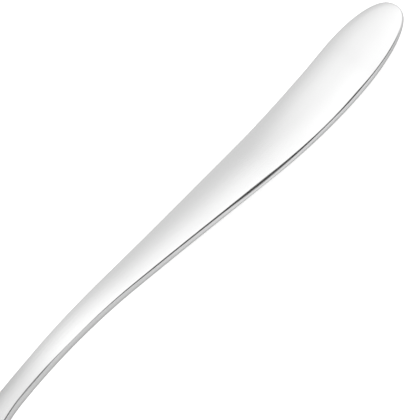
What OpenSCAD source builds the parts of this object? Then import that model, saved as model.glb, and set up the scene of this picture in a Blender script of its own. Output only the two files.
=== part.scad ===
// Soup ladle of polished steel: a drawn bowl and a bent teardrop handle, welded together.
// It lies at rest on a table: z = 0 is the table, +X runs from the bowl to the handle's tip.
// The origin is on the table, under the middle of the ladle's length and width.

/* [Bowl] */
// Inside diameter of the bowl at the rim
bowl_d = 92; // [84:1:100]
// Inside depth of the bowl, from the rim down to the flat
bowl_depth = 33; // [29:0.5:37]
// Thickness of the bowl's sheet
bowl_wall = 1.5; // [1.2:0.1:2]
// Thickness of the rounded rim
rim_d = 2.4; // [2.2:0.1:3.2]
// Diameter of the flat inside the bottom of the bowl
flat_d = 24; // [16:1:30]

/* [Handle line] */
// Slope of the straight part of the handle against the plane of the rim, in degrees
handle_rise = 50; // [44:0.5:56]
// Length of the bend between the rim and the arch
bend_len = 18; // [14:1:26]
// Length of the arch
arch_len = 65; // [52:1:74]
// Radius of the arch
arch_r = 240; // [200:5:300]
// Length of the straight part
straight_len = 68; // [56:1:86]
// Length of the upward curve beyond the straight part
upturn_len = 55; // [40:1:64]
// Radius of the upward curve
upturn_r = 220; // [170:5:280]
// Length of the straight end
end_len = 23; // [18:1:36]

/* [Handle outline] */
// Width of the handle at its widest place
grip_w = 25; // [21:0.5:29]
// Distance from the tip to the widest place
tip_len = 31; // [26:1:38]
// Fullness of the rounded tip: 2 is half an ellipse, more is squarer
tip_fullness = 2.2; // [2:0.1:2.6]
// Width of the neck at its narrowest place
neck_w = 8.8; // [7.4:0.2:10.4]
// Length over which the neck widens to the foot
flare_len = 33; // [28:1:40]
// How long the outline keeps near the neck's width, as a share of the flank
neck_ease = 0.42; // [0.3:0.02:0.54]
// How long the outline keeps near the grip's width, as a share of the flank
grip_ease = 0.28; // [0.2:0.02:0.4]

/* [Handle thickness] */
// Height of the side at the neck
neck_edge = 2.9; // [2.3:0.1:3.4]
// Height of the side at the widest place
grip_edge = 2.4; // [1.7:0.1:2.8]
// Height of the side at the tip
tip_edge = 1.9; // [1.4:0.1:2.2]
// Radius of the crown across the face at the grip
grip_crown_r = 95; // [80:5:160]
// Radius of the crown across the face at the neck
neck_crown_r = 34; // [26:1:50]
// Radius of the crown across the back
back_crown_r = 200; // [150:10:400]
// Rounding of the long edges
edge_round = 0.4; // [0.3:0.05:0.5]

/* [Foot] */
// Width of the foot at its widest place
foot_w = 17; // [14:0.5:20]
// Length of the foot below the rim
foot_len = 26; // [24:0.5:30]
// Distance from the rim down to the widest place of the foot
foot_top = 6; // [5:0.5:8]
// Height of the side at the end of the foot
foot_edge = 1.2; // [1.1:0.1:1.6]
// Extra thickness along the middle of the foot
foot_crown = 0.9; // [0.7:0.1:1.3]

/* [Welds] */
// Diameter of a weld nugget
nugget_d = 4.2; // [3:0.2:5]
// Distance between two nuggets
nugget_pitch = 6; // [5.2:0.2:6.4]
// Distance from the rim down to the first nugget
nugget_top = 7; // [6:0.5:8]
// Depth of a nugget in the bowl's sheet
nugget_in = 0.8; // [0.5:0.1:1]
// Depth of a nugget in the foot
nugget_out = 0.9; // [0.6:0.1:1.2]
// Width of the weld bead on the bowl
bead_w = 1.3; // [0.8:0.1:2]

/* [Hidden] */
nugget_count = 3;
steel = [0.80, 0.81, 0.82];
weld_steel = [0.70, 0.70, 0.71];

// The bowl is part of a sphere whose centre stands above the rim; bowl sizes are measured from that centre.
rim_below = (pow(bowl_d / 2, 2) - pow(flat_d / 2, 2) - pow(bowl_depth, 2)) / (2 * bowl_depth);
inner_r = sqrt(pow(bowl_d / 2, 2) + pow(rim_below, 2));
outer_r = inner_r + bowl_wall;
rim_angle = -asin(rim_below / outer_r);
rim_mid_r = (bowl_d / 2 + sqrt(pow(outer_r, 2) - pow(rim_below, 2))) / 2;

// The handle's line is measured along its length from the rim: the foot is below zero, the tip is at handle_len.
handle_len = bend_len + arch_len + straight_len + upturn_len + end_len;
flank_len = handle_len - tip_len - (flare_len - foot_top);
neck_at = flare_len - foot_top;
arch_turn = -arch_len / arch_r * 180 / PI;
upturn = upturn_len / upturn_r * 180 / PI;
bend_turn = handle_rise - arch_turn - (rim_angle + 90);

// Each piece of the line above the rim: its length and how far it turns, in degrees
line = [[bend_len, bend_turn], [arch_len, arch_turn], [straight_len, 0], [upturn_len, upturn], [end_len, 0]];

// Steps across the face and the back, and along each stretch of the handle
face_steps = 6;
back_steps = 4;
foot_steps = 9;
seat_steps = 3;
flare_steps = 14;
flank_steps = 40;
tip_steps = 14;

// The rounded ends of the foot and the tip stop at these angles, each with a small flat
foot_end_angle = 7;
tip_end_angle = 4;

// Halvings in the search for the tilt at which the ladle rests
tilt_steps = 40;

// How deep the foot is drawn into the bowl before its seat is cut, and the rounding of its edges there
bite = bowl_wall / 3;
foot_round = edge_round / 4;

// Length above the rim over which the seat runs out into the crowned face
seat_run = neck_at / 2;

// The bead starts at the underside of the rim; its toe is drawn this deep and cut off by the bowl
bead_top = rim_d / 2;
toe_depth = bead_w / 4;
slack = 0.001;

function mix(a, b, t) = a + (b - a) * t;
function wave(t) = (1 - cos(180 * t)) / 2;
function clamp01(t) = min(1, max(0, t));

// End of an arc of given length and turn that starts at [x, z, direction]
function arc_end(from, run, turn) =
    let (half = turn / 2)
    let (chord = abs(half) < 0.001 ? run : run * sin(half) / (half * PI / 180))
    [from[0] + chord * cos(from[2] + half), from[1] + chord * sin(from[2] + half), from[2] + turn];

// Point and direction on the handle's line, s along from the rim
function on_foot(s) =
    let (angle = rim_angle + s / outer_r * 180 / PI)
    [outer_r * cos(angle), outer_r * sin(angle), angle + 90];
function on_line(s, from, i) =
    let (run = line[i][0])
    let (turn = line[i][1])
    s <= run || i == len(line) - 1
        ? arc_end(from, s, turn * s / run)
        : on_line(s - run, arc_end(from, run, turn), i + 1);
function at(s) = s <= 0 ? on_foot(s) : on_line(s, on_foot(0), 0);

// Outline of the handle as [distance from the rim, half width], from the end of the foot to the tip
foot_end_len = foot_len - foot_top;
function bezier(a, b, c, d, t) =
    a * pow(1 - t, 3) + 3 * b * t * pow(1 - t, 2) + 3 * c * t * t * (1 - t) + d * pow(t, 3);
foot_outline = [
    for (i = [0:foot_steps])
        let (angle = mix(foot_end_angle, 90, i / foot_steps))
        [-foot_top - foot_end_len * cos(angle), foot_w / 2 * sin(angle)]
];
flare_places = concat(
    [for (i = [1:seat_steps]) mix(-foot_top, -bead_top, i / seat_steps)],
    [for (i = [1:flare_steps]) mix(-bead_top, neck_at, i / flare_steps)]
);
flare_outline = [for (s = flare_places) [s, mix(foot_w, neck_w, wave((s + foot_top) / flare_len)) / 2]];
flank_outline = [
    for (i = [1:flank_steps])
        let (t = i / flank_steps)
        [neck_at + flank_len * bezier(0, neck_ease, 1 - grip_ease, 1, t),
            bezier(neck_w, neck_w, grip_w, grip_w, t) / 2]
];
tip_outline = [
    for (i = [1:tip_steps])
        let (angle = mix(90, tip_end_angle, i / tip_steps))
        [handle_len - tip_len * (1 - pow(cos(angle), 2 / tip_fullness)),
            grip_w / 2 * pow(sin(angle), 2 / tip_fullness)]
];
outline = concat(foot_outline, flare_outline, flank_outline, tip_outline);

// Height of the side along the handle
function edge_at(s) =
    s > handle_len - tip_len
        ? mix(tip_edge, grip_edge, sin(90 * clamp01((handle_len - s) / tip_len)))
        : s > neck_at
            ? mix(neck_edge, grip_edge, 1 - sin(90 * clamp01((handle_len - tip_len - s) / flank_len)))
            : mix(foot_edge, neck_edge, wave((s + foot_len) / (neck_at + foot_len)));

// Share of the foot's seat in a section: 1 on the bowl, 0 well above the rim
function seat_at(s) = s <= 0 ? 1 : 1 - wave(clamp01(s / seat_run));

// Heights of a section over the handle's line: middle and edge of the face, then edge and middle of the back
function heights(s, half_w) =
    let (seat = seat_at(s))
    let (edge = edge_at(s))
    let (sag = outer_r - sqrt(pow(outer_r, 2) - pow(half_w, 2)))
    let (crown_r = mix(neck_crown_r, grip_crown_r, clamp01((s - neck_at) / flank_len)))
    let (crown = pow(half_w, 2) / (2 * crown_r))
    let (back = mix(pow(half_w, 2) / (2 * back_crown_r), foot_crown * half_w * 2 / foot_w, seat))
    [mix(crown, bite, seat), seat * (bite + sag), seat * sag - edge, -edge - back];

// One section as points [across, height], round from the left edge of the face
function section(s, half_w) =
    let (h = heights(s, half_w))
    let (face_round = mix(edge_round, foot_round, seat_at(s)))
    let (corner = 1 - sqrt(0.5))
    let (face = [for (i = [0:face_steps])
        let (y = (half_w - face_round) * (2 * i / face_steps - 1))
        [y, mix(h[0], h[1], pow(y / half_w, 2))]])
    let (back = [for (i = [0:back_steps])
        let (y = (half_w - edge_round) * (1 - 2 * i / back_steps))
        [y, mix(h[3], h[2], pow(y / half_w, 2))]])
    concat(
        face,
        [[half_w - corner * face_round, h[1] - corner * face_round], [half_w, h[1] - face_round]],
        [[half_w, h[2] + edge_round], [half_w - corner * edge_round, h[2] + corner * edge_round]],
        back,
        [[-half_w + corner * edge_round, h[2] + corner * edge_round], [-half_w, h[2] + edge_round]],
        [[-half_w, h[1] - face_round], [-half_w + corner * face_round, h[1] - corner * face_round]]
    );

// A point of the section at s, in the bowl's own frame
function placed(s, point) =
    let (p = at(s))
    [p[0] - point[1] * sin(p[2]), point[0], p[1] + point[1] * cos(p[2])];

// Tilt at which the foot and the grip's back both touch the table
function low_of(points, tilt) = min([for (p = points) p[2] * cos(tilt) - p[0] * sin(tilt)]);
back_line = [for (o = outline) placed(o[0], [0, heights(o[0], o[1])[3]])];
foot_back = [for (i = [0:len(outline) - 1]) if (outline[i][0] < neck_at) back_line[i]];
grip_back = [for (i = [0:len(outline) - 1]) if (outline[i][0] >= neck_at) back_line[i]];
function bowl_low(tilt) = min(-outer_r, low_of(foot_back, tilt));
function rest_tilt_in(low, high, left) =
    let (tilt = (low + high) / 2)
    left == 0
        ? tilt
        : low_of(grip_back, tilt) > bowl_low(tilt)
            ? rest_tilt_in(tilt, high, left - 1)
            : rest_tilt_in(low, tilt, left - 1);
rest_tilt = rest_tilt_in(0, 90, tilt_steps);
tip_reach = max([for (p = section(outline[len(outline) - 1][0], outline[len(outline) - 1][1]))
    let (q = placed(outline[len(outline) - 1][0], p))
    q[0] * cos(rest_tilt) + q[2] * sin(rest_tilt)]);

// Lays a piece drawn round the bowl's sphere down on the table
module laid() {
    translate([(outer_r - tip_reach) / 2, 0, -bowl_low(rest_tilt)])
        rotate([0, rest_tilt, 0])
            children();
}

// Solid of all that lies inside the bowl's outer surface, for seating the foot
module bowl_seat() {
    rotate_extrude($fn = 360)
        intersection() {
            circle(r = outer_r, $fn = 360);
            translate([0, -outer_r])
                square([outer_r, 2 * outer_r]);
        }
    rim_round();
}

// The rounded rim
module rim_round() {
    translate([0, 0, -rim_below])
        rotate_extrude($fn = 180)
            translate([rim_mid_r, 0])
                circle(d = rim_d, $fn = 32);
}

// Half a round bowl with a flat bottom, filled up to the given height
module bowl_half(r, floor_z, top_z) {
    intersection() {
        circle(r = r, $fn = 180);
        translate([0, floor_z])
            square([r, top_z - floor_z]);
    }
}

// One weld nugget, or its pocket, across the joint between wall and foot
module nugget(i) {
    angle = rim_angle - (nugget_top + i * nugget_pitch) / outer_r * 180 / PI;
    rotate([0, -angle, 0])
        translate([outer_r - nugget_in, 0, 0])
            rotate([0, 90, 0])
                cylinder(d = nugget_d, h = nugget_in + nugget_out, $fn = 32);
}

module nuggets() {
    for (i = [0:nugget_count - 1])
        nugget(i);
}

// Drawn bowl of sheet steel: sphere, flat bottom and rounded rim
module bowl() {
    inner_floor = -rim_below - bowl_depth;
    color(steel)
        laid()
            difference() {
                union() {
                    rotate_extrude($fn = 180)
                        difference() {
                            bowl_half(outer_r, inner_floor - bowl_wall, -rim_below);
                            bowl_half(inner_r, inner_floor, outer_r);
                        }
                    rim_round();
                }
                nuggets();
            }
}

// Sections joined into one closed skin, with a flat cap at each end; lean picks the diagonal of each patch
module skin(sections, lean = 1) {
    ring = len(sections[0]);
    last = len(sections) - 1;
    points = [for (s = sections) each s];
    sides = [
        for (i = [0:last - 1])
            for (j = [0:ring - 1])
                let (a = i * ring + j)
                let (b = i * ring + (j + 1) % ring)
                each lean > 0
                    ? [[a, b, b + ring], [a, b + ring, a + ring]]
                    : [[a, b, a + ring], [b, b + ring, a + ring]]
    ];
    caps = [[for (j = [ring - 1:-1:0]) j], [for (j = [0:ring - 1]) last * ring + j]];
    polyhedron(points, concat(sides, caps), convexity = 6);
}

// Stamped handle, bent to its line; the foot is cut to lie on the bowl and round its rim
module handle() {
    color(steel)
        laid()
            difference() {
                skin([for (o = outline) [for (p = section(o[0], o[1])) placed(o[0], p)]]);
                bowl_seat();
                nuggets();
            }
}

// Fused nuggets that hold the foot to the wall
module spot_welds() {
    color(weld_steel)
        laid()
            nuggets();
}

// Bead of filler that closes the joint round the foot: down one side of it and up the other
module weld_bead() {
    foot_side = [for (o = outline) if (o[0] <= -bead_top + slack) o];
    left = [for (i = [len(foot_side) - 1:-1:0]) bead_section(foot_side, i, 1)];
    right = [for (i = [0:len(foot_side) - 1]) bead_section(foot_side, i, -1)];
    color(weld_steel)
        laid()
            difference() {
                skin(concat(left, right), lean = -1);
                bowl_seat();
            }
}

// Three corners of the bead beside one section of the foot: in the joint, up on the side, out on the bowl
function bead_section(foot_side, i, side) =
    let (o = foot_side[i])
    let (before = foot_side[max(0, i - 1)])
    let (after = foot_side[min(len(foot_side) - 1, i + 1)])
    let (run = [after[0] - before[0], after[1] - before[1]])
    let (out = [-run[1], run[0]] / norm(run))
    let (h = heights(o[0], o[1]))
    let (toe = [o[0] + out[0] * bead_w, o[1] + out[1] * bead_w])
    let (toe_sag = outer_r - sqrt(pow(outer_r, 2) - pow(toe[1], 2)))
    [
        placed(o[0], [side * o[1], h[1] - foot_round]),
        placed(o[0], [side * o[1], h[2] + edge_round]),
        placed(toe[0], [side * toe[1], toe_sag + toe_depth])
    ];

bowl();
handle();
spot_welds();
weld_bead();
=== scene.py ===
import math

import bmesh
import bpy
import numpy as np
from mathutils import Matrix, Vector


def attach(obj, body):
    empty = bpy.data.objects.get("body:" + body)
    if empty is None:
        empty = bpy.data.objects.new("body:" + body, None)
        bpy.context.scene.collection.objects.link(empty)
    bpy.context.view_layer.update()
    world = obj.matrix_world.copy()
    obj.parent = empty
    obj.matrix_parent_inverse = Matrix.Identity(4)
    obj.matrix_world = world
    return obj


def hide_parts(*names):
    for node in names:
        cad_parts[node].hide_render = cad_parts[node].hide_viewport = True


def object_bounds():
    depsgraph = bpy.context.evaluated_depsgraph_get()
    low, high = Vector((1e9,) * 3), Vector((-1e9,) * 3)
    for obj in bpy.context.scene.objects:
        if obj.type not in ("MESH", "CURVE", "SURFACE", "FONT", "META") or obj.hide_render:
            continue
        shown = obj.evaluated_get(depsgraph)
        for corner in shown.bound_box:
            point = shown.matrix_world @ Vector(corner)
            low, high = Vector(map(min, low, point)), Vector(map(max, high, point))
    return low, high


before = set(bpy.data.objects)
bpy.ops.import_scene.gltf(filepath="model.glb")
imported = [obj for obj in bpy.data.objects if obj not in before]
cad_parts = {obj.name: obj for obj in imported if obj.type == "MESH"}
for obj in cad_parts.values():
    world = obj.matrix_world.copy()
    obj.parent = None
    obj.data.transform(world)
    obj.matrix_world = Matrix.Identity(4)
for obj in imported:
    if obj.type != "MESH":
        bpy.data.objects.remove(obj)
cad_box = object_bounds()

# The bowl is one cup of stainless sheet, drawn deep, with its rim rolled to a bead and a small flat pressed
# into its bottom. It is polished while it spins, so the marks of the polish run round it in fine rings.
# It is drawn about the centre of its own sphere, in millimetres, and then laid down on its side.
bowl_d = 92.0
bowl_depth = 33.0
bowl_wall = 1.485
rim_d = 2.36
flat_d = 24.0
base_soft = 0.9
rim_soft = 0.5
floor_steps, corner_steps, wall_steps, rim_steps, turn_steps = 14, 7, 64, 30, 180
search_steps = 4000
bowl_light = (0.642, 0.642, 0.644, 1.0)
bowl_deep = (0.600, 0.600, 0.602, 1.0)
bowl_rough = (0.10, 0.19)
ring_lines = (1400, 1400, 1400)
ring_relief, ring_height = 0.10, 0.00006
rim_below = ((bowl_d / 2) ** 2 - (flat_d / 2) ** 2 - bowl_depth ** 2) / (2 * bowl_depth)
inner_r = math.hypot(bowl_d / 2, rim_below)
outer_r = inner_r + bowl_wall
rim_mid_r = (bowl_d / 2 + math.sqrt(outer_r ** 2 - rim_below ** 2)) / 2
rest_tilt = math.radians(55.9448)
rest_place = np.array([-96.90295, 0.0, 51.595])


def add_node(tree, kind, inputs=None, **settings):
    """Adds a node, sets its options, and links or sets its inputs by name or by number."""
    made = tree.nodes.new(kind)
    for name, value in settings.items():
        setattr(made, name, value)
    for name, value in (inputs or {}).items():
        if isinstance(value, bpy.types.NodeSocket):
            tree.links.new(value, made.inputs[name])
        else:
            made.inputs[name].default_value = value
    return made


def add_math(tree, operation, *values):
    """One Math node, given by its result."""
    return add_node(tree, "ShaderNodeMath", dict(enumerate(values)), operation=operation).outputs[0]


def add_ramp(tree, value, start, end, low, high, kind="SMOOTHSTEP"):
    """Runs from low to high while the value runs from start to end, and stays level beyond both."""
    return add_node(tree, "ShaderNodeMapRange", {"Value": value, "From Min": start, "From Max": end,
                                                 "To Min": low, "To Max": high},
                    interpolation_type=kind).outputs[0]


def add_tone(tree, share, first, second):
    """Mixes two colours by a share."""
    return add_node(tree, "ShaderNodeMix", {0: share, 6: first, 7: second}, data_type="RGBA").outputs[2]


def polish_group():
    """Marks of every polished surface of the ladle: fine lines of the polishing wheel, and slow clouding."""
    group = bpy.data.node_groups.new("wheel_polish", "ShaderNodeTree")
    for name, kind in (("Lines", "Vector"), ("Place", "Vector"), ("Light", "Color"), ("Deep", "Color"),
                       ("Least Roughness", "Float"), ("Most Roughness", "Float")):
        group.interface.new_socket(name, in_out="INPUT", socket_type="NodeSocket" + kind)
    for name, kind in (("Colour", "Color"), ("Roughness", "Float"), ("Height", "Float")):
        group.interface.new_socket(name, in_out="OUTPUT", socket_type="NodeSocket" + kind)
    cloud_scale, cloud_share, line_share = 42.0, 0.6, 0.4
    hair_width, hair_depth = 0.03, 0.12
    least_wear, most_wear = 0.3, 0.7
    given = add_node(group, "NodeGroupInput").outputs
    lines = add_node(group, "ShaderNodeTexNoise", {"Vector": given["Lines"], "Scale": 1.0, "Detail": 4.0,
                                                   "Roughness": 0.6}).outputs[0]
    cloud = add_node(group, "ShaderNodeTexNoise", {"Vector": given["Place"], "Scale": cloud_scale,
                                                   "Detail": 2.0, "Roughness": 0.45}).outputs[0]
    hair = add_math(group, "ABSOLUTE", add_math(group, "SUBTRACT", lines, 0.5))
    hair = add_ramp(group, hair, 0.0, hair_width, 1.0, 0.0, "LINEAR")
    wear = add_math(group, "ADD", add_math(group, "MULTIPLY", cloud, cloud_share),
                    add_math(group, "MULTIPLY", lines, line_share))
    rough = add_ramp(group, wear, least_wear, most_wear, given["Least Roughness"],
                     given["Most Roughness"], "LINEAR")
    tone = add_tone(group, wear, given["Light"], given["Deep"])
    height = add_math(group, "SUBTRACT", lines, add_math(group, "MULTIPLY", hair, hair_depth))
    add_node(group, "NodeGroupOutput", {"Colour": tone, "Roughness": rough, "Height": height})
    return group


def new_material(name, metallic):
    """An empty material: the material, its tree and its shader."""
    made = bpy.data.materials.new(name)
    made.use_nodes = True
    shader = made.node_tree.nodes["Principled BSDF"]
    shader.inputs["Metallic"].default_value = metallic
    return made, made.node_tree, shader


def polish_marks(tree, lines, place, light, deep, rough):
    """Places the polish group in a material with its own tones and roughness, given by what it puts out."""
    return add_node(tree, "ShaderNodeGroup", {"Lines": lines, "Place": place, "Light": light, "Deep": deep,
                                              "Least Roughness": rough[0], "Most Roughness": rough[1]},
                    node_tree=polish).outputs


def finish_surface(tree, shader, colour, rough, height, relief, relief_height):
    """Gives a shader its colour, its roughness and the relief of its marks."""
    bump = add_node(tree, "ShaderNodeBump", {"Height": height, "Strength": relief, "Distance": relief_height})
    for socket, value in (("Base Color", colour), ("Roughness", rough), ("Normal", bump.outputs[0])):
        tree.links.new(value, shader.inputs[socket])


def bowl_profile():
    """Half section of the bowl's sheet as [radius, height], from the middle outside to the middle inside."""
    def soft_corner(a, corner, b):
        t = np.linspace(0, 1, corner_steps)[:, None]
        return np.array(a) * (1 - t) ** 2 + 2 * np.array(corner) * t * (1 - t) + np.array(b) * t ** 2

    def on_sphere(r, angle):
        return np.stack([r * np.cos(angle), r * np.sin(angle)], -1)

    rim = np.array([rim_mid_r, -rim_below])
    rim_r = rim_d / 2
    inner_floor = -rim_below - bowl_depth
    parts = []
    for r, floor, side in ((outer_r, inner_floor - bowl_wall, 1), (inner_r, inner_floor, -1)):
        flat_edge = math.sqrt(r ** 2 - floor ** 2)
        edge_angle = -math.acos(flat_edge / r)
        near = on_sphere(r, np.linspace(edge_angle, 0, search_steps))
        meets = near[np.argmax(np.hypot(*(near - rim).T) < rim_r)]
        meet_angle = math.atan2(meets[1], meets[0])
        wall = on_sphere(r, np.linspace(edge_angle + base_soft / r, meet_angle - rim_soft / r, wall_steps))
        turn = math.atan2(meets[1] - rim[1], meets[0] - rim[0]) + side * rim_soft / rim_r
        onto_rim = rim + rim_r * np.array([math.cos(turn), math.sin(turn)])
        flat = np.stack([np.linspace(0, flat_edge - base_soft, floor_steps), np.full(floor_steps, floor)], -1)
        run = [flat[:-1], soft_corner(flat[-1], (flat_edge, floor), wall[0]), wall[1:-1],
               soft_corner(wall[-1], meets, onto_rim)]
        parts.append((np.concatenate(run), turn))
    (outside, turn_out), (inside, turn_in) = parts
    if turn_in < turn_out:
        turn_in += 2 * math.pi
    bead = np.linspace(turn_out, turn_in, rim_steps)[1:-1]
    bead = rim + rim_r * np.stack([np.cos(bead), np.sin(bead)], -1)
    return np.concatenate([outside, bead, inside[::-1]])


def open_tree(name, inputs, output):
    """A new Geometry Nodes tree with its named inputs and output, and what arrives on the inputs."""
    tree = bpy.data.node_groups.new(name, "GeometryNodeTree")
    tree.is_modifier = True
    for label, kind in inputs:
        tree.interface.new_socket(label, in_out="INPUT", socket_type="NodeSocket" + kind)
    tree.interface.new_socket(output, in_out="OUTPUT", socket_type="NodeSocketGeometry")
    return tree, add_node(tree, "NodeGroupInput").outputs


def sweep_grid(tree, rows, columns):
    """A flat grid that a sweep bends into shape, with the row and the column of each of its points."""
    grid = add_node(tree, "GeometryNodeMeshGrid", {"Vertices X": rows, "Vertices Y": columns}).outputs[0]
    index = add_node(tree, "GeometryNodeInputIndex").outputs[0]
    row = add_math(tree, "FLOOR", add_math(tree, "DIVIDE", add_math(tree, "ADD", index, 0.5), columns))
    column = add_math(tree, "SUBTRACT", index, add_math(tree, "MULTIPLY", row, columns))
    return grid, row, column


def at_row(tree, line, value, row, kind):
    """A value of the swept line, at the point that the row stands for."""
    return add_node(tree, "GeometryNodeSampleIndex", {"Geometry": line, "Value": value, "Index": row},
                    data_type=kind, domain="POINT").outputs[0]


def closed_skin(tree, grid, places, seam):
    """Moves the grid's points to their places, joins its seams and shades it smooth."""
    moved = add_node(tree, "GeometryNodeSetPosition", {"Geometry": grid, "Position": places}).outputs[0]
    closed = add_node(tree, "GeometryNodeMergeByDistance", {"Geometry": moved, "Distance": seam}).outputs[0]
    return add_node(tree, "GeometryNodeSetShadeSmooth", {"Geometry": closed, "Shade Smooth": True}).outputs[0]


def give_out(tree, shape, steel, output):
    """Ends a tree with real geometry in its material."""
    whole = add_node(tree, "GeometryNodeRealizeInstances", {"Geometry": shape}).outputs[0]
    done = add_node(tree, "GeometryNodeSetMaterial", {"Geometry": whole, "Material": steel}).outputs[0]
    add_node(tree, "NodeGroupOutput", {output: done})


def spun_bowl_tree():
    """Turns a half section about the bowl's axis, closes it, and lays it down on its side."""
    tree, given = open_tree("spun_bowl", (("Section", "Geometry"), ("Section Points", "Int"),
                                          ("Turn Steps", "Int"), ("Tilt", "Vector"), ("Place", "Vector"),
                                          ("Steel", "Material")), "Bowl")
    columns = add_math(tree, "ADD", given["Turn Steps"], 1)
    grid, row, column = sweep_grid(tree, given["Section Points"], columns)
    place = add_node(tree, "GeometryNodeInputPosition").outputs[0]
    point = at_row(tree, given["Section"], place, row, "FLOAT_VECTOR")
    angle = add_math(tree, "DIVIDE", add_math(tree, "MULTIPLY", column, 2 * math.pi), given["Turn Steps"])
    turned = add_node(tree, "ShaderNodeVectorRotate", {"Vector": point, "Angle": angle},
                      rotation_type="Z_AXIS").outputs[0]
    skin = closed_skin(tree, grid, turned, 1e-6)
    tipped = add_node(tree, "GeometryNodeTransform", {"Geometry": skin, "Rotation": given["Tilt"],
                                                      "Translation": given["Place"]}).outputs[0]
    give_out(tree, tipped, given["Steel"], "Bowl")
    return tree


def grown(name, points, tree, values, layers=None):
    """Runs a node tree on a line of points, and gives back the plain mesh object that it makes."""
    line = bpy.data.meshes.new(name)
    line.from_pydata([tuple(p) for p in points], [(i, i + 1) for i in range(len(points) - 1)], [])
    for layer, (kind, data) in (layers or {}).items():
        made = line.attributes.new(layer, kind, "POINT")
        part = "vector" if kind == "FLOAT_VECTOR" else "value"
        made.data.foreach_set(part, np.ravel(data).astype(np.float32))
    piece = bpy.data.objects.new(name, line)
    bpy.context.collection.objects.link(piece)
    grow = piece.modifiers.new(name, "NODES")
    grow.node_group = tree
    for socket in tree.interface.items_tree:
        if socket.in_out == "INPUT" and socket.name in values:
            grow[socket.identifier] = values[socket.name]
    shape = bpy.data.meshes.new_from_object(piece.evaluated_get(bpy.context.evaluated_depsgraph_get()))
    piece.modifiers.remove(grow)
    piece.data = shape
    shape.name = name
    return piece


def face_outwards(piece):
    """Turns a closed mesh right side out if its faces point inwards."""
    shape = piece.data
    shape.calc_loop_triangles()
    corners = np.empty(len(shape.loop_triangles) * 3, np.int32)
    shape.loop_triangles.foreach_get("vertices", corners)
    places = np.empty(len(shape.vertices) * 3)
    shape.vertices.foreach_get("co", places)
    a, b, c = places.reshape(-1, 3)[corners.reshape(-1, 3)].transpose(1, 0, 2)
    if np.sum(a * np.cross(b, c)) < 0:
        shape.flip_normals()
    shape.update()


polish = polish_group()
bowl_steel, tree, shader = new_material("spun_bowl_steel", 1.0)
where = add_node(tree, "ShaderNodeTexCoord").outputs["Object"]
upright = add_node(tree, "ShaderNodeMapping", {"Vector": where, "Location": tuple(rest_place / 1000),
                                               "Rotation": (0, rest_tilt, 0)},
                   vector_type="TEXTURE").outputs[0]
x, y, z = add_node(tree, "ShaderNodeSeparateXYZ", {0: upright}).outputs
radius = add_math(tree, "SQRT", add_math(tree, "ADD", add_math(tree, "MULTIPLY", x, x),
                                         add_math(tree, "MULTIPLY", y, y)))
rings = add_node(tree, "ShaderNodeCombineXYZ", {0: radius, 1: z}).outputs[0]
rings = add_node(tree, "ShaderNodeVectorMath", {0: rings, 1: ring_lines}, operation="MULTIPLY").outputs[0]
marks = polish_marks(tree, rings, upright, bowl_light, bowl_deep, bowl_rough)
finish_surface(tree, shader, marks["Colour"], marks["Roughness"], marks["Height"], ring_relief, ring_height)

section = bowl_profile()
section = np.stack([section[:, 0], 0 * section[:, 0], section[:, 1]], -1) / 1000
bowl = grown("ladle_bowl", section, spun_bowl_tree(),
             {"Section Points": len(section), "Turn Steps": turn_steps, "Tilt": (0.0, rest_tilt, 0.0),
              "Place": tuple(rest_place / 1000), "Steel": bowl_steel})
face_outwards(bowl)
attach(bowl, "root")
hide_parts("bowl")

# The handle is one stamped bar of the same steel, bent to an arch over the neck, a straight and an upward end.
# Its crowned face is polished lengthwise. Its stamped sides are satin and carry painted shade: their colour
# darkens towards their foot, by the neck and at the tip. Its leaf-shaped foot is pressed to the outside of the
# bowl and welded there.
handle_rise = math.radians(50)
bend_len = 18.0
arch_len = 65.0
arch_r = 240.0
straight_len = 68.0
upturn_len = 52.0
upturn_r = 220.0
end_len = 26.0
grip_w = 25.1
tip_len = 31.0
tip_fullness = 2.34
neck_w = 8.8
flare_len = 33.0
neck_ease = 0.42
grip_ease = 0.28
neck_edge = 3.05
grip_edge = 2.4
tip_edge = 1.6
grip_crown_r = 95.0
neck_crown_r = 34.0
back_crown_r = 200.0
round_crown = 2.0
flat_crown = 2.6
flat_crown_from = 150
flat_crown_run = 35
flat_crown_end = 20
edge_round = 0.4
edge_ease = 0.45
edge_ease_end = 20
soft_edge_places = (20, 34, 50, 64, 76, 88, 108, 128, 141, 152, 165, 177, 189, 201, 210, 222)
soft_edge_radii = (0.34, 0.7, 0.06, 0.18, 0.4, 0.6, 0.7, 0.84, 1.54, 1.2, 0.78, 0.3, 0.77, 0.28, 0.3, 0.38)
soft_edge_blend = (-6, -3, 0, 3, 6)
tip_roll = math.radians(6)
tip_roll_w = 3.0
tip_roll_from = 8
foot_w = 17.0
foot_len = 26.0
foot_top = 6.0
foot_edge = 1.2
foot_crown = 0.9
seat_gap = 0.004
seat_reach = 6.0
seat_tries = 40
press_mark_d = 4.8
press_mark_depth = 0.06
nugget_places = (-7.0, -13.0, -19.0)
foot_ribs, flare_ribs, flank_ribs, tip_ribs = 44, 70, 220, 64
tip_end_turn = 0.5
face_rows, edge_rows, back_rows = 18, 9, 14
side_shares = (0.25, 0.5, 0.75)
face_light = (0.638, 0.638, 0.638, 1.0)
face_deep = (0.610, 0.610, 0.610, 1.0)
face_rough = (0.11, 0.17)
face_lines = (90, 1500, 1500)
line_height = 0.00005
neck_relief, grip_relief = 0.34, 0.14
relief_fade_x = (0.04, 0.1)
side_light = (0.63, 0.63, 0.63, 1.0)
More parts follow.
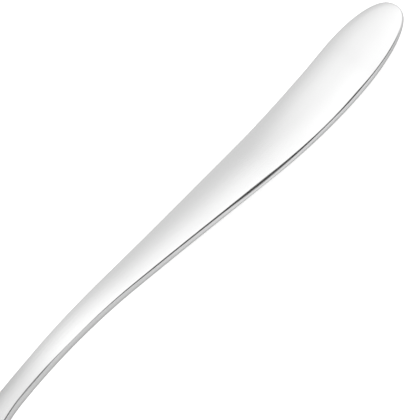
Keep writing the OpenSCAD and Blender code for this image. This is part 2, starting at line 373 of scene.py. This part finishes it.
# Painted shade on the handle's sides: their colour falls to this darker grey towards their foot, and partly by
# the neck and at the tip.
side_painted_shade = (0.4, 0.4, 0.4, 1.0)
side_rough = (0.24, 0.36)
painted_shade_from, painted_shade_to = 1.3, 2.1
neck_painted_shade, neck_painted_shade_x = 0.38, (-0.01, 0.055)
tip_painted_shade, tip_painted_shade_x = 0.6, (0.114, 0.13)
rim_angle = -math.asin(rim_below / outer_r)
handle_len = bend_len + arch_len + straight_len + upturn_len + end_len
neck_at = flare_len - foot_top
widest_at = handle_len - tip_len
flank_len = widest_at - neck_at
seat_run = neck_at / 2
bite = bowl_wall / 3
arch_turn = -arch_len / arch_r
line = ((bend_len, handle_rise - arch_turn - (rim_angle + math.pi / 2)), (arch_len, arch_turn),
        (straight_len, 0.0), (upturn_len, upturn_len / upturn_r), (2 * end_len, 0.0))
ease = np.linspace(0, 1, 2001)
flank_s = neck_at + flank_len * (3 * neck_ease * ease * (1 - ease) ** 2
                                 + 3 * (1 - grip_ease) * ease ** 2 * (1 - ease) + ease ** 3)
flank_w = (neck_w + (grip_w - neck_w) * (3 * ease ** 2 - 2 * ease ** 3)) / 2


def mix(a, b, t):
    """From a to b by the share t."""
    return a + (b - a) * t


def wave(t):
    """A soft step from 0 to 1."""
    return (1 - np.cos(np.pi * np.clip(t, 0, 1))) / 2


def on_line(s):
    """Place [x, z] and direction of the handle's line, s along from the rim."""
    angle = rim_angle + np.minimum(s, 0) / outer_r
    x, z, lean = outer_r * np.cos(angle), outer_r * np.sin(angle), angle + np.pi / 2
    left = np.maximum(s, 0)
    for length, turn in line:
        run = np.minimum(left, length)
        half = turn * run / length / 2
        chord = run * np.sinc(half / np.pi)
        x, z, lean = x + chord * np.cos(lean + half), z + chord * np.sin(lean + half), lean + 2 * half
        left = left - run
    return x, z, lean


def by_the_bowl(s, y, h):
    """A point of the handle about the bowl's centre: s along, y across, h above the line."""
    x, z, lean = on_line(s)
    return np.stack([x - h * np.sin(lean), y, z + h * np.cos(lean)], -1)


def laid(p):
    """Turns points about the bowl's centre to where they lie on the table, in metres."""
    c, n = math.cos(rest_tilt), math.sin(rest_tilt)
    turned = np.stack([p[..., 0] * c + p[..., 2] * n, p[..., 1], p[..., 2] * c - p[..., 0] * n], -1)
    return (turned + rest_place) / 1000


def face_round(s):
    """Radius of the face's edge, worn and polished more in some places than in others."""
    near = [np.interp(s + step, soft_edge_places, soft_edge_radii) for step in soft_edge_blend]
    return np.mean(near, axis=0)


def seat_share(s):
    """1 where the foot lies on the bowl, 0 well above the rim."""
    return np.where(s <= 0, 1.0, 1 - wave(s / seat_run))


def eased(s):
    """What a rounder edge adds to the half width and takes from the side's height."""
    fade = (1 - seat_share(s)) * wave((widest_at - s) / edge_ease_end)
    return fade * np.maximum(face_round(s) - edge_round, 0) * edge_ease


def half_width(s):
    """Half the handle's width: leaf-shaped foot, flare, flank and full tip."""
    foot = foot_w / 2 * np.sqrt(np.clip(1 - ((s + foot_top) / (foot_len - foot_top)) ** 2, 0, 1))
    flare = mix(foot_w, neck_w, wave((s + foot_top) / flare_len)) / 2 + eased(s)
    tip = grip_w / 2 * (1 - np.clip((s - widest_at) / tip_len, 0, 1) ** tip_fullness) ** (1 / tip_fullness)
    flank = np.interp(s, flank_s, flank_w) + eased(s)
    return np.where(s < -foot_top, foot, np.where(s < neck_at, flare, np.where(s < widest_at, flank, tip)))


def side_height(s):
    """Height of the handle's upright side."""
    tip = mix(tip_edge, grip_edge, np.clip((handle_len - s) / tip_len, 0, 1))
    flank = mix(grip_edge, neck_edge, wave((widest_at - s) / flank_len)) - eased(s)
    foot = mix(foot_edge, neck_edge, wave((s + foot_len) / (neck_at + foot_len))) - eased(s)
    return np.where(s > widest_at, tip, np.where(s > neck_at, flank, foot))


def past_bowl(p):
    """How far points stand outside the bowl's wall and rim, below zero inside them."""
    past_wall = np.linalg.norm(p, axis=-1) - outer_r
    past_rim = np.hypot(np.hypot(p[..., 0], p[..., 1]) - rim_mid_r, p[..., 2] + rim_below) - rim_d / 2
    return np.minimum(past_wall, past_rim)


def off_the_bowl(s, y, h):
    """Lowers points that would stand inside the bowl's wall or rim until they lie on it."""
    low, high = np.minimum(h, -seat_reach), np.array(h)
    for _ in range(seat_tries):
        middle = (low + high) / 2
        clear = past_bowl(by_the_bowl(s, y, middle)) > seat_gap
        low, high = np.where(clear, middle, low), np.where(clear, high, middle)
    inside = past_bowl(by_the_bowl(s, y, h)) < seat_gap
    return np.where((s < seat_run) & inside, low, h)


def bowl_sag(w):
    """How far the bowl's sphere falls away at a half width."""
    return outer_r - np.sqrt(outer_r ** 2 - w ** 2)


def face_height(s, y):
    """Height of the face over the handle's line: crowned, flatter on the grip, and hollow on the bowl."""
    seat, w = seat_share(s), half_width(s)
    crown_r = mix(neck_crown_r, grip_crown_r, np.clip((s - neck_at) / flank_len, 0, 1))
    share = (y / np.maximum(w, 1e-6)) ** 2
    flat = wave((s - flat_crown_from) / flat_crown_run) * wave((handle_len - s) / flat_crown_end)
    power = mix(round_crown, flat_crown, flat)
    plain = w ** 2 * (1 - share ** (power / 2)) / (power * crown_r)
    seated = mix(bite, bite + bowl_sag(w), share)
    return off_the_bowl(s, y, mix(plain, seated, seat))


def back_height(s, y):
    """Height of the back, with a shallow press mark behind each spot weld."""
    seat, w = seat_share(s), half_width(s)
    share = 1 - (y / np.maximum(w, 1e-6)) ** 2
    crown = mix(w ** 2 / (2 * back_crown_r), foot_crown * 2 * w / foot_w, seat)
    pressed = 0
    for place in nugget_places:
        near = np.hypot(s - place, y) / (press_mark_d / 2)
        pressed = pressed + press_mark_depth * np.where(near < 1, (1 - near ** 2) ** 2, 0)
    return mix(seat * bowl_sag(w), 0, share) - side_height(s) - crown * share + pressed


def handle_shape():
    """The handle's skin: ribs run from the middle of the face over the edge to the middle of the back.

    Each point has a number: 0 on the face, 1 at the top of the side, 2 at the side's foot, 0 on the back.
    """
    foot_a, foot_b = foot_len - foot_top, foot_w / 2
    turn = np.linspace(0, np.pi / 2, foot_ribs)[:-1]
    foot_s = -foot_top - foot_a * np.cos(turn)
    foot_spine = -foot_top - (foot_a - foot_b ** 2 / foot_a) * np.cos(turn)
    middle_s = np.concatenate([np.linspace(-foot_top, neck_at, flare_ribs)[:-1],
                               np.linspace(neck_at, widest_at, flank_ribs)[:-1]])
    small = 0.01
    slope = (half_width(middle_s + small) - half_width(middle_s - small)) / (2 * small)
    slope[0] = 0
    middle_spine = middle_s + half_width(middle_s) * slope
    turn_tip = np.radians(np.linspace(90, tip_end_turn, tip_ribs))
    out_share, wide_share = np.cos(turn_tip) ** (2 / tip_fullness), np.sin(turn_tip) ** (2 / tip_fullness)
    tip_s, tip_w = widest_at + tip_len * out_share, grip_w / 2 * wide_share
    tip_slope = -(grip_w / 2 / tip_len) * (out_share / wide_share) ** (tip_fullness - 1)
    tip_spine = np.maximum.accumulate(tip_s + tip_w * tip_slope)
    tip_w[-1] = 0
    s = np.concatenate([foot_s, middle_s, tip_s])
    w = np.concatenate([foot_b * np.sin(turn), half_width(middle_s), tip_w])
    spine = np.concatenate([foot_spine, middle_spine, tip_spine])
    rib = np.hypot(s - spine, w)
    rounding_face = mix(face_round(s), edge_round / 4, seat_share(s))
    rounding_back = np.full_like(s, edge_round)
    tip_share = wave((s - widest_at - tip_roll_from) / (tip_len - tip_roll_from))

    def plan(inset):
        """Places on every rib, so far in from the outline: s along and y across."""
        share = inset / rib
        return mix(s, spine, share), w * (1 - share)

    def height(surface, inset):
        """Height of the face or the back, so far in from the outline."""
        roll = tip_roll * tip_share * np.maximum(tip_roll_w - inset, 0) ** 2 / (2 * tip_roll_w)
        return surface(*plan(inset)) - (roll if surface is face_height else 0)

    def soft_edge(surface, rounding, down):
        """From the surface over a rounded edge to the upright side, as insets and heights."""
        probe = 0.05
        start = height(surface, rounding)
        rise = (height(surface, rounding + probe) - start) / probe
        corner = start - rise * rounding
        out = []
        for t in np.linspace(0, 1, edge_rows):
            k = (1 - t) ** 2, math.sqrt(2) * t * (1 - t), t ** 2
            inset = k[0] * rounding / sum(k)
            out.append((inset, (k[0] * start + k[1] * corner + k[2] * (corner + down * rounding)) / sum(k)))
        return out

    rows, side = [], []
    for share in np.linspace(1, 0, face_rows)[:-1]:
        inset = mix(rounding_face, rib, share)
        rows.append((inset, height(face_height, inset)))
        side.append(0)
    over_face = soft_edge(face_height, rounding_face, -1)
    over_back = soft_edge(back_height, rounding_back, 1)[::-1]
    rows += over_face
    side += list(np.linspace(0, 1, len(over_face)))
    for share in side_shares:
        rows.append((0 * s, mix(over_face[-1][1], over_back[0][1], share)))
        side.append(1 + share)
    rows += over_back
    side += list(2 - 2 * np.linspace(0, 1, len(over_back)) ** 3)
    for share in np.linspace(0, 1, back_rows)[1:]:
        inset = mix(rounding_back, rib, share)
        rows.append((inset, height(back_height, inset)))
        side.append(0)

    columns = []
    for hand in (1, -1):
        skin = []
        for inset, h in rows:
            along, across = plan(inset)
            skin.append(laid(by_the_bowl(along, hand * across, h)))
        columns.append(np.stack(skin, 1))
    points = np.concatenate([columns[0], columns[1][-2:0:-1]])
    count, deep = points.shape[:2]
    # The back rests on the table, and the tip ends where the solid ends.
    points[..., 2] = np.maximum(points[..., 2], 0)
    points[..., 0] = np.minimum(points[..., 0], cad_box[1][0])
    a = (np.arange(count)[:, None] * deep + np.arange(deep - 1)).ravel()
    b = ((np.arange(count)[:, None] + 1) % count * deep + np.arange(deep - 1)).ravel()
    return points.reshape(-1, 3), np.stack([a, a + 1, b + 1, b], -1), np.tile(side, count)


def skin_object(name, points, faces, layers, steel):
    """A smooth closed mesh object from points and faces, with its doubled points joined."""
    shape = bpy.data.meshes.new(name)
    shape.from_pydata(points.tolist(), [], faces.tolist())
    for layer, data in layers.items():
        made = shape.attributes.new(layer, "FLOAT", "POINT")
        made.data.foreach_set("value", np.asarray(data, np.float32))
    work = bmesh.new()
    work.from_mesh(shape)
    bmesh.ops.remove_doubles(work, verts=work.verts, dist=2e-7)
    bmesh.ops.dissolve_degenerate(work, edges=work.edges, dist=1e-8)
    bmesh.ops.recalc_face_normals(work, faces=work.faces)
    work.to_mesh(shape)
    work.free()
    shape.shade_smooth()
    shape.materials.append(steel)
    piece = bpy.data.objects.new(name, shape)
    bpy.context.collection.objects.link(piece)
    face_outwards(piece)
    return piece


handle_steel, tree, shader = new_material("polished_handle_steel", 1.0)
where = add_node(tree, "ShaderNodeTexCoord").outputs["Object"]
lengthwise = add_node(tree, "ShaderNodeMapping", {"Vector": where, "Scale": face_lines}).outputs[0]
marks = polish_marks(tree, lengthwise, where, face_light, face_deep, face_rough)
x = add_node(tree, "ShaderNodeSeparateXYZ", {0: where}).outputs[0]
down = add_node(tree, "ShaderNodeAttribute", attribute_name="side").outputs["Fac"]
side = add_ramp(tree, down, 0.0, 1.0, 0.0, 1.0, "LINEAR")
# Painted shade: the sides' colour darkens towards their foot, by the neck and at the tip, for shade they
# reflect there; their roughness rises with it.
neck_shade_share = add_ramp(tree, x, *neck_painted_shade_x, neck_painted_shade, 0.0)
tip_shade_share = add_ramp(tree, x, *tip_painted_shade_x, 0.0, tip_painted_shade)
painted_shade_and_satin = add_ramp(tree, down, painted_shade_from, painted_shade_to, add_math(tree, "ADD", neck_shade_share, tip_shade_share), 1.0)
side_tone = add_tone(tree, painted_shade_and_satin, side_light, side_painted_shade)
side_satin = add_ramp(tree, painted_shade_and_satin, 0.0, 1.0, *side_rough, "LINEAR")
tone = add_tone(tree, side, marks["Colour"], side_tone)
rough = add_node(tree, "ShaderNodeMix", {0: side, 2: marks["Roughness"], 3: side_satin}).outputs[0]
relief = add_ramp(tree, x, *relief_fade_x, neck_relief, grip_relief)
finish_surface(tree, shader, tone, rough, marks["Height"], relief, line_height)

points, faces, side = handle_shape()
handle = skin_object("ladle_handle", points, faces, {"side": side}, handle_steel)
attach(handle, "root")
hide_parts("handle")

# The weld bead is a thin fillet of filler that runs down one side of the foot, round its end and up the other
# side. It closes the crevice between foot and bowl, and keeps faint ripples and a grey bloom after polishing.
bead_w = 1.3
bead_top = 1.2
bead_sink = 0.03
bead_taper = 1.6
bead_steps = 10
top_points, end_points = 14, 60
foot_middle = -foot_top - 4
ripple_pitch = 1.1
ripple_depth = 0.07
bead_light = (0.56, 0.555, 0.545, 1.0)
bead_deep = (0.46, 0.455, 0.450, 1.0)
bead_rough = (0.20, 0.34)
bead_grain = (900, 900, 900)
bead_relief, bead_grain_height = 0.25, 0.0001


def weld_bead_tree():
    """Sweeps a hollow fillet along the joint, rippled along its length, and closes it."""
    tree, given = open_tree("weld_bead", (("Joint", "Geometry"), ("Joint Points", "Int"),
                                          ("Round Steps", "Int"), ("Ripple Pitch", "Float"),
                                          ("Ripple Depth", "Float"), ("Sink", "Float"),
                                          ("Steel", "Material")), "Bead")
    ring = add_math(tree, "ADD", given["Round Steps"], 1)
    columns = add_math(tree, "ADD", ring, 1)
    grid, row, column = sweep_grid(tree, given["Joint Points"], columns)
    column = add_math(tree, "MODULO", column, ring)

    def along(layer, kind):
        """A layer of the joint's line, at the point that the row stands for."""
        value = add_node(tree, "GeometryNodeInputNamedAttribute", {"Name": layer}, data_type=kind).outputs[0]
        return at_row(tree, given["Joint"], value, row, kind)

    place = add_node(tree, "GeometryNodeInputPosition").outputs[0]
    moved = at_row(tree, given["Joint"], place, row, "FLOAT_VECTOR")
    arc = add_math(tree, "DIVIDE", column, add_math(tree, "SUBTRACT", given["Round Steps"], 1))
    arc = add_math(tree, "MULTIPLY", arc, math.pi / 2)
    corner = add_math(tree, "COMPARE", column, given["Round Steps"], 0.25)
    open_share = add_math(tree, "SUBTRACT", 1.0, corner)
    hollow = [add_math(tree, "SUBTRACT", 1.0, add_math(tree, turn, arc)) for turn in ("COSINE", "SINE")]
    beat = add_math(tree, "DIVIDE", along("run", "FLOAT"), given["Ripple Pitch"])
    beat = add_math(tree, "ABSOLUTE", add_math(tree, "SINE", add_math(tree, "MULTIPLY", beat, math.pi)))
    swell = add_math(tree, "ADD", 1.0, add_math(tree, "MULTIPLY", beat, given["Ripple Depth"]))
    for share, way, size in ((hollow[0], "out", "reach"), (hollow[1], "up", "height")):
        share = add_math(tree, "MULTIPLY", add_math(tree, "MULTIPLY", share, open_share), swell)
        share = add_math(tree, "MULTIPLY", share, along(size, "FLOAT"))
        share = add_math(tree, "SUBTRACT", share, given["Sink"])
        step = add_node(tree, "ShaderNodeVectorMath", {0: along(way, "FLOAT_VECTOR"), "Scale": share},
                        operation="SCALE").outputs[0]
        moved = add_node(tree, "ShaderNodeVectorMath", {0: moved, 1: step}, operation="ADD").outputs[0]
    give_out(tree, closed_skin(tree, grid, moved, 2e-6), given["Steel"], "Bead")
    return tree


def joint_line():
    """The joint round the foot: places on the bowl, and the ways and sizes of the bead at each of them."""
    turn = np.linspace(np.pi / 2, 0, end_points)
    top = np.linspace(-bead_top, -foot_top, top_points)[:-1]
    s = np.concatenate([top, -foot_top - (foot_len - foot_top) * np.cos(turn)])
    y = np.concatenate([half_width(top), foot_w / 2 * np.sin(turn)])
    s, y = np.concatenate([s, s[-2::-1]]), np.concatenate([y, -y[-2::-1]])
    place = by_the_bowl(s, y, bowl_sag(y))
    angle = rim_angle + s / outer_r
    up = np.stack([np.cos(angle), 0 * s, np.sin(angle)], -1)
    ds, dy = np.gradient(s), np.gradient(y)
    tangent = np.stack([-np.sin(angle), 0 * s, np.cos(angle)], -1)
    out = -dy[:, None] * tangent + ds[:, None] * np.array([0, 1, 0])
    radial = place / np.linalg.norm(place, axis=-1, keepdims=True)
    out -= np.sum(out * radial, -1, keepdims=True) * radial
    out /= np.linalg.norm(out, axis=-1, keepdims=True)
    from_middle = place - by_the_bowl(s * 0 + foot_middle, y * 0, y * 0)
    out *= np.sign(np.sum(out * from_middle, -1, keepdims=True))
    run = np.concatenate([[0], np.cumsum(np.linalg.norm(np.diff(place, axis=0), axis=-1))])
    taper = np.sqrt(np.clip(np.minimum(run, run[-1] - run) / bead_taper, 0, 1))
    height = (side_height(s) - edge_round) * taper
    centre = laid(np.zeros(3))
    return laid(place), {"out": ("FLOAT_VECTOR", (laid(out) - centre) * 1000),
                         "up": ("FLOAT_VECTOR", (laid(up) - centre) * 1000),
                         "reach": ("FLOAT", bead_w * taper / 1000), "height": ("FLOAT", height / 1000),
                         "run": ("FLOAT", run / 1000)}


bead_steel, tree, shader = new_material("weld_bead_steel", 1.0)
where = add_node(tree, "ShaderNodeTexCoord").outputs["Object"]
fine = add_node(tree, "ShaderNodeMapping", {"Vector": where, "Scale": bead_grain}).outputs[0]
marks = polish_marks(tree, fine, where, bead_light, bead_deep, bead_rough)
finish_surface(tree, shader, marks["Colour"], marks["Roughness"], marks["Height"], bead_relief,
               bead_grain_height)

joint, layers = joint_line()
bead = grown("foot_weld_bead", joint, weld_bead_tree(),
             {"Joint Points": len(joint), "Round Steps": bead_steps, "Ripple Pitch": ripple_pitch / 1000,
              "Ripple Depth": ripple_depth, "Sink": bead_sink / 1000, "Steel": bead_steel}, layers)
face_outwards(bead)
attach(bead, "root")
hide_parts("weld_bead")

# The spot welds are three nuggets of melted steel, dull and grainy, between the foot and the bowl's wall. They
# lie inside the joint, so only the shallow press marks on the foot's back show where they are.
nugget_light = (0.50, 0.50, 0.50, 1.0)
nugget_deep = (0.40, 0.40, 0.41, 1.0)
nugget_rough = (0.35, 0.55)
nugget_grain = (2200, 2200, 2200)
nugget_relief, nugget_grain_height = 0.3, 0.0001
nugget_steel, tree, shader = new_material("spot_weld_steel", 1.0)
where = add_node(tree, "ShaderNodeTexCoord").outputs["Object"]
grain = add_node(tree, "ShaderNodeMapping", {"Vector": where, "Scale": nugget_grain}).outputs[0]
marks = polish_marks(tree, grain, where, nugget_light, nugget_deep, nugget_rough)
finish_surface(tree, shader, marks["Colour"], marks["Roughness"], marks["Height"], nugget_relief,
               nugget_grain_height)
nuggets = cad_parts["spot_welds"]
for slot in nuggets.material_slots:
    slot.material = nugget_steel

# The studio has a softly glowing white table, pale walls, and a large soft light behind and above the ladle.
# A dark screen in front, paler at its foot, draws the thin line along the edge of the handle. Each edge of a
# light or a screen is given by the directions, from -1 to 1 along an axis, between which it fades.
table_r, table_sides, table_drop = 6, 96, 0.00005
table_white = (0.86, 0.86, 0.86, 1.0)
table_glow = (0.62, 0.62, 0.62, 1.0)
table_glow_dim = 0.62
wall_light = 1.0
box_light, box_edge, box_lean, box_middle = 1.65, (0.54, 0.83), 0.19, 0.4
zenith_dim, zenith_edge = 0.35, (0.93, 0.985)
screen_dark, screen_foot = 0.03, 0.6
screen_turn = math.radians(22)
screen_near, screen_far = (0.2, 0.5), (-0.25, -0.08)
screen_front, screen_low = (-0.26, -0.06), (0.2, 0.45)
far_dim, far_edge = 0.79, (0.06, 0.225)
behind_dim, behind_edge, behind_top = 0.5, (-0.75, -0.25), (0.1, 0.6)
backdrop_light = 1.2

table = bpy.data.meshes.new("table")
around = np.linspace(0, 2 * math.pi, table_sides + 1)[:-1]
ring = [(table_r * math.cos(a), table_r * math.sin(a), -table_drop) for a in around]
table.from_pydata(ring, [], [tuple(range(table_sides))])
table_paint, tree, shader = new_material("white_table", 0.0)
shader.inputs["Base Color"].default_value = table_white
shader.inputs["Roughness"].default_value = 0.9
shader.inputs["Specular IOR Level"].default_value = 0.0
shader.inputs["Emission Color"].default_value = table_glow
seen = add_node(tree, "ShaderNodeLightPath").outputs["Is Camera Ray"]
glow = add_ramp(tree, seen, 0.0, 1.0, table_glow_dim, 1.0, "LINEAR")
tree.links.new(glow, shader.inputs["Emission Strength"])
table.materials.append(table_paint)
floor = bpy.data.objects.new("table", table)
bpy.context.collection.objects.link(floor)

world = bpy.data.worlds.new("studio")
bpy.context.scene.world = world
world.use_nodes = True
tree = world.node_tree
tree.nodes.clear()
way = add_node(tree, "ShaderNodeTexCoord").outputs["Generated"]
x, y, z = add_node(tree, "ShaderNodeSeparateXYZ", {0: way}).outputs
lean = add_math(tree, "MULTIPLY", add_math(tree, "SUBTRACT", x, box_middle), box_lean)
light = add_ramp(tree, add_math(tree, "ADD", z, lean), *box_edge, wall_light, box_light)
zenith = add_ramp(tree, z, *zenith_edge, 1.0, zenith_dim)
across = (math.cos(screen_turn), math.sin(screen_turn), 0.0)
beside = add_node(tree, "ShaderNodeVectorMath", {0: way, 1: across}, operation="DOT_PRODUCT").outputs["Value"]
screen = add_ramp(tree, beside, *screen_near, 1.0, 0.0)
for share in (add_ramp(tree, beside, *screen_far, 0.0, 1.0), add_ramp(tree, z, *screen_low, screen_foot, 1.0),
              add_ramp(tree, y, *screen_front, 1.0, 0.0)):
    screen = add_math(tree, "MULTIPLY", screen, share)
screen = add_ramp(tree, screen, 0.0, 1.0, 1.0, screen_dark, "LINEAR")
far_end = add_ramp(tree, x, *far_edge, far_dim, 1.0)
behind = add_math(tree, "MULTIPLY", add_ramp(tree, x, *behind_edge, 1.0, 0.0),
                  add_ramp(tree, z, *behind_top, 1.0, 0.0))
dusk = add_ramp(tree, behind, 0.0, 1.0, 1.0, behind_dim, "LINEAR")
for share in (zenith, screen, far_end, dusk):
    light = add_math(tree, "MULTIPLY", light, share)
studio = add_node(tree, "ShaderNodeBackground", {"Color": (1, 1, 1, 1), "Strength": light}).outputs[0]
white = add_node(tree, "ShaderNodeBackground", {"Color": (1, 1, 1, 1), "Strength": backdrop_light}).outputs[0]
seen = add_node(tree, "ShaderNodeLightPath").outputs["Is Camera Ray"]
both = add_node(tree, "ShaderNodeMixShader", {0: seen, 1: studio, 2: white}).outputs[0]
add_node(tree, "ShaderNodeOutputWorld", {"Surface": both})

# The camera stands well back with a long lens, looks along the handle from the front and above, and is turned
# on its own axis so that the handle runs up to the right.
lens_mm, sensor_mm = 282.424, 36.0
stand_off = 1.15
looks_at = Vector((0.043154, -0.000068, 0.002165))
eye_right, eye_up = Vector((0.657852, -0.696625, -0.286259)), Vector((0.680611, 0.387130, 0.622012))
eye_back = eye_right.cross(eye_up)
eye = bpy.data.cameras.new("camera")
eye.lens = lens_mm
eye.sensor_width = sensor_mm
eye.clip_start, eye.clip_end = 0.01, 50.0
camera = bpy.data.objects.new("camera", eye)
bpy.context.collection.objects.link(camera)
camera.matrix_world = Matrix((eye_right, eye_up, eye_back)).transposed().to_4x4()
camera.location = looks_at + stand_off * eye_back
bpy.context.scene.camera = camera
bpy.context.scene.view_settings.view_transform = "Standard"
bpy.context.scene.view_settings.look = "None"
